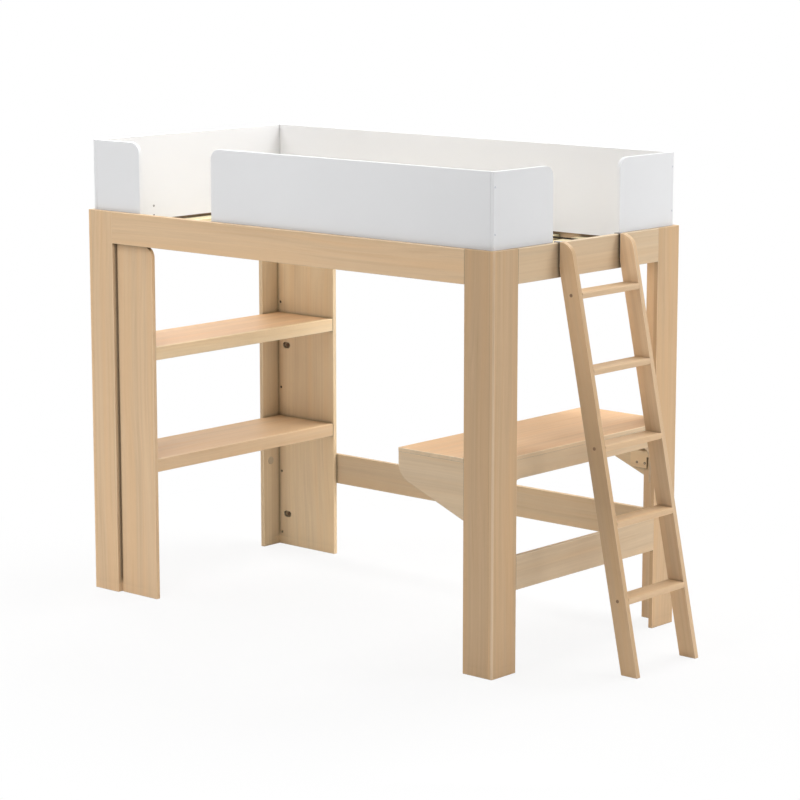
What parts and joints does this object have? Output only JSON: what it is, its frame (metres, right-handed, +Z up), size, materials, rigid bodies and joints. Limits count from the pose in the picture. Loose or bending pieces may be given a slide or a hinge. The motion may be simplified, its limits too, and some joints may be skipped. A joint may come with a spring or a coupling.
{
  "type": "loft bed",
  "caption": "Free-standing loft bed with a slatted platform and guards over open shelves and a built-in desk, reached by a hook-on ladder.",
  "frame": {"origin": "on the floor, under the centre of the box round the bed and its ladder", "axes": "+Z up, the open front faces -Y, the ladder leans on the +X end and the shelves stand at the -X end"},
  "size_m": [2.3849, 1.062, 1.757],
  "materials": {
    "pale_wood": "satin clear-coated pale wood with faint straight grain",
    "slat_wood": "unvarnished light softwood",
    "white_lacquer": "smooth white lacquer on board",
    "dark_webbing": "flat woven ribbon",
    "hook_steel": "satin steel"
  },
  "bodies": {
    "bed": {"desk_apron": "pale_wood", "desk_top": "pale_wood", "front_desk_bracket": "pale_wood", "front_desk_cleat": "pale_wood", "front_left_leg_end_board": "pale_wood", "front_left_leg_front_board": "pale_wood", "front_long_guard": "white_lacquer", "front_rail": "pale_wood", "front_right_leg_end_board": "pale_wood", "front_right_leg_front_board": "pale_wood", "front_shelf_panel": "pale_wood", "front_short_guard": "white_lacquer", "front_slat_ledge": "slat_wood", "front_slat_ribbon": "dark_webbing", "left_end_guard": "white_lacquer", "left_end_rail": "pale_wood", "lower_shelf": "pale_wood", "lower_shelf_lip": "pale_wood", "rear_desk_bracket": "pale_wood", "rear_desk_cleat": "pale_wood", "rear_guard": "white_lacquer", "rear_left_leg_end_board": "pale_wood", "rear_left_leg_rear_board": "pale_wood", "rear_rail": "pale_wood", "rear_right_leg_end_board": "pale_wood", "rear_right_leg_rear_board": "pale_wood", "rear_shelf_panel": "pale_wood", "rear_slat_ledge": "slat_wood", "rear_slat_ribbon": "dark_webbing", "rear_stretcher": "pale_wood", "right_end_front_guard": "white_lacquer", "right_end_rail": "pale_wood", "right_end_rear_guard": "white_lacquer", "right_end_stretcher": "pale_wood", "slat_01": "slat_wood", "slat_02": "slat_wood", "slat_03": "slat_wood", "slat_04": "slat_wood", "slat_05": "slat_wood", "slat_06": "slat_wood", "slat_07": "slat_wood", "slat_08": "slat_wood", "slat_09": "slat_wood", "slat_10": "slat_wood", "slat_11": "slat_wood", "slat_12": "slat_wood", "upper_shelf": "pale_wood", "upper_shelf_lip": "pale_wood"},
    "ladder": {"front_ladder_hook": "hook_steel", "front_ladder_stile": "pale_wood", "rear_ladder_hook": "hook_steel", "rear_ladder_stile": "pale_wood", "tread_1": "pale_wood", "tread_2": "pale_wood", "tread_3": "pale_wood", "tread_4": "pale_wood", "tread_5": "pale_wood"}
  },
  "joints": [
    {"name": "ladder_lift", "type": "slide", "parent": "bed", "child": "ladder", "axis": [0, 0, 1], "range_m": [0, 0.06]}
  ]
}
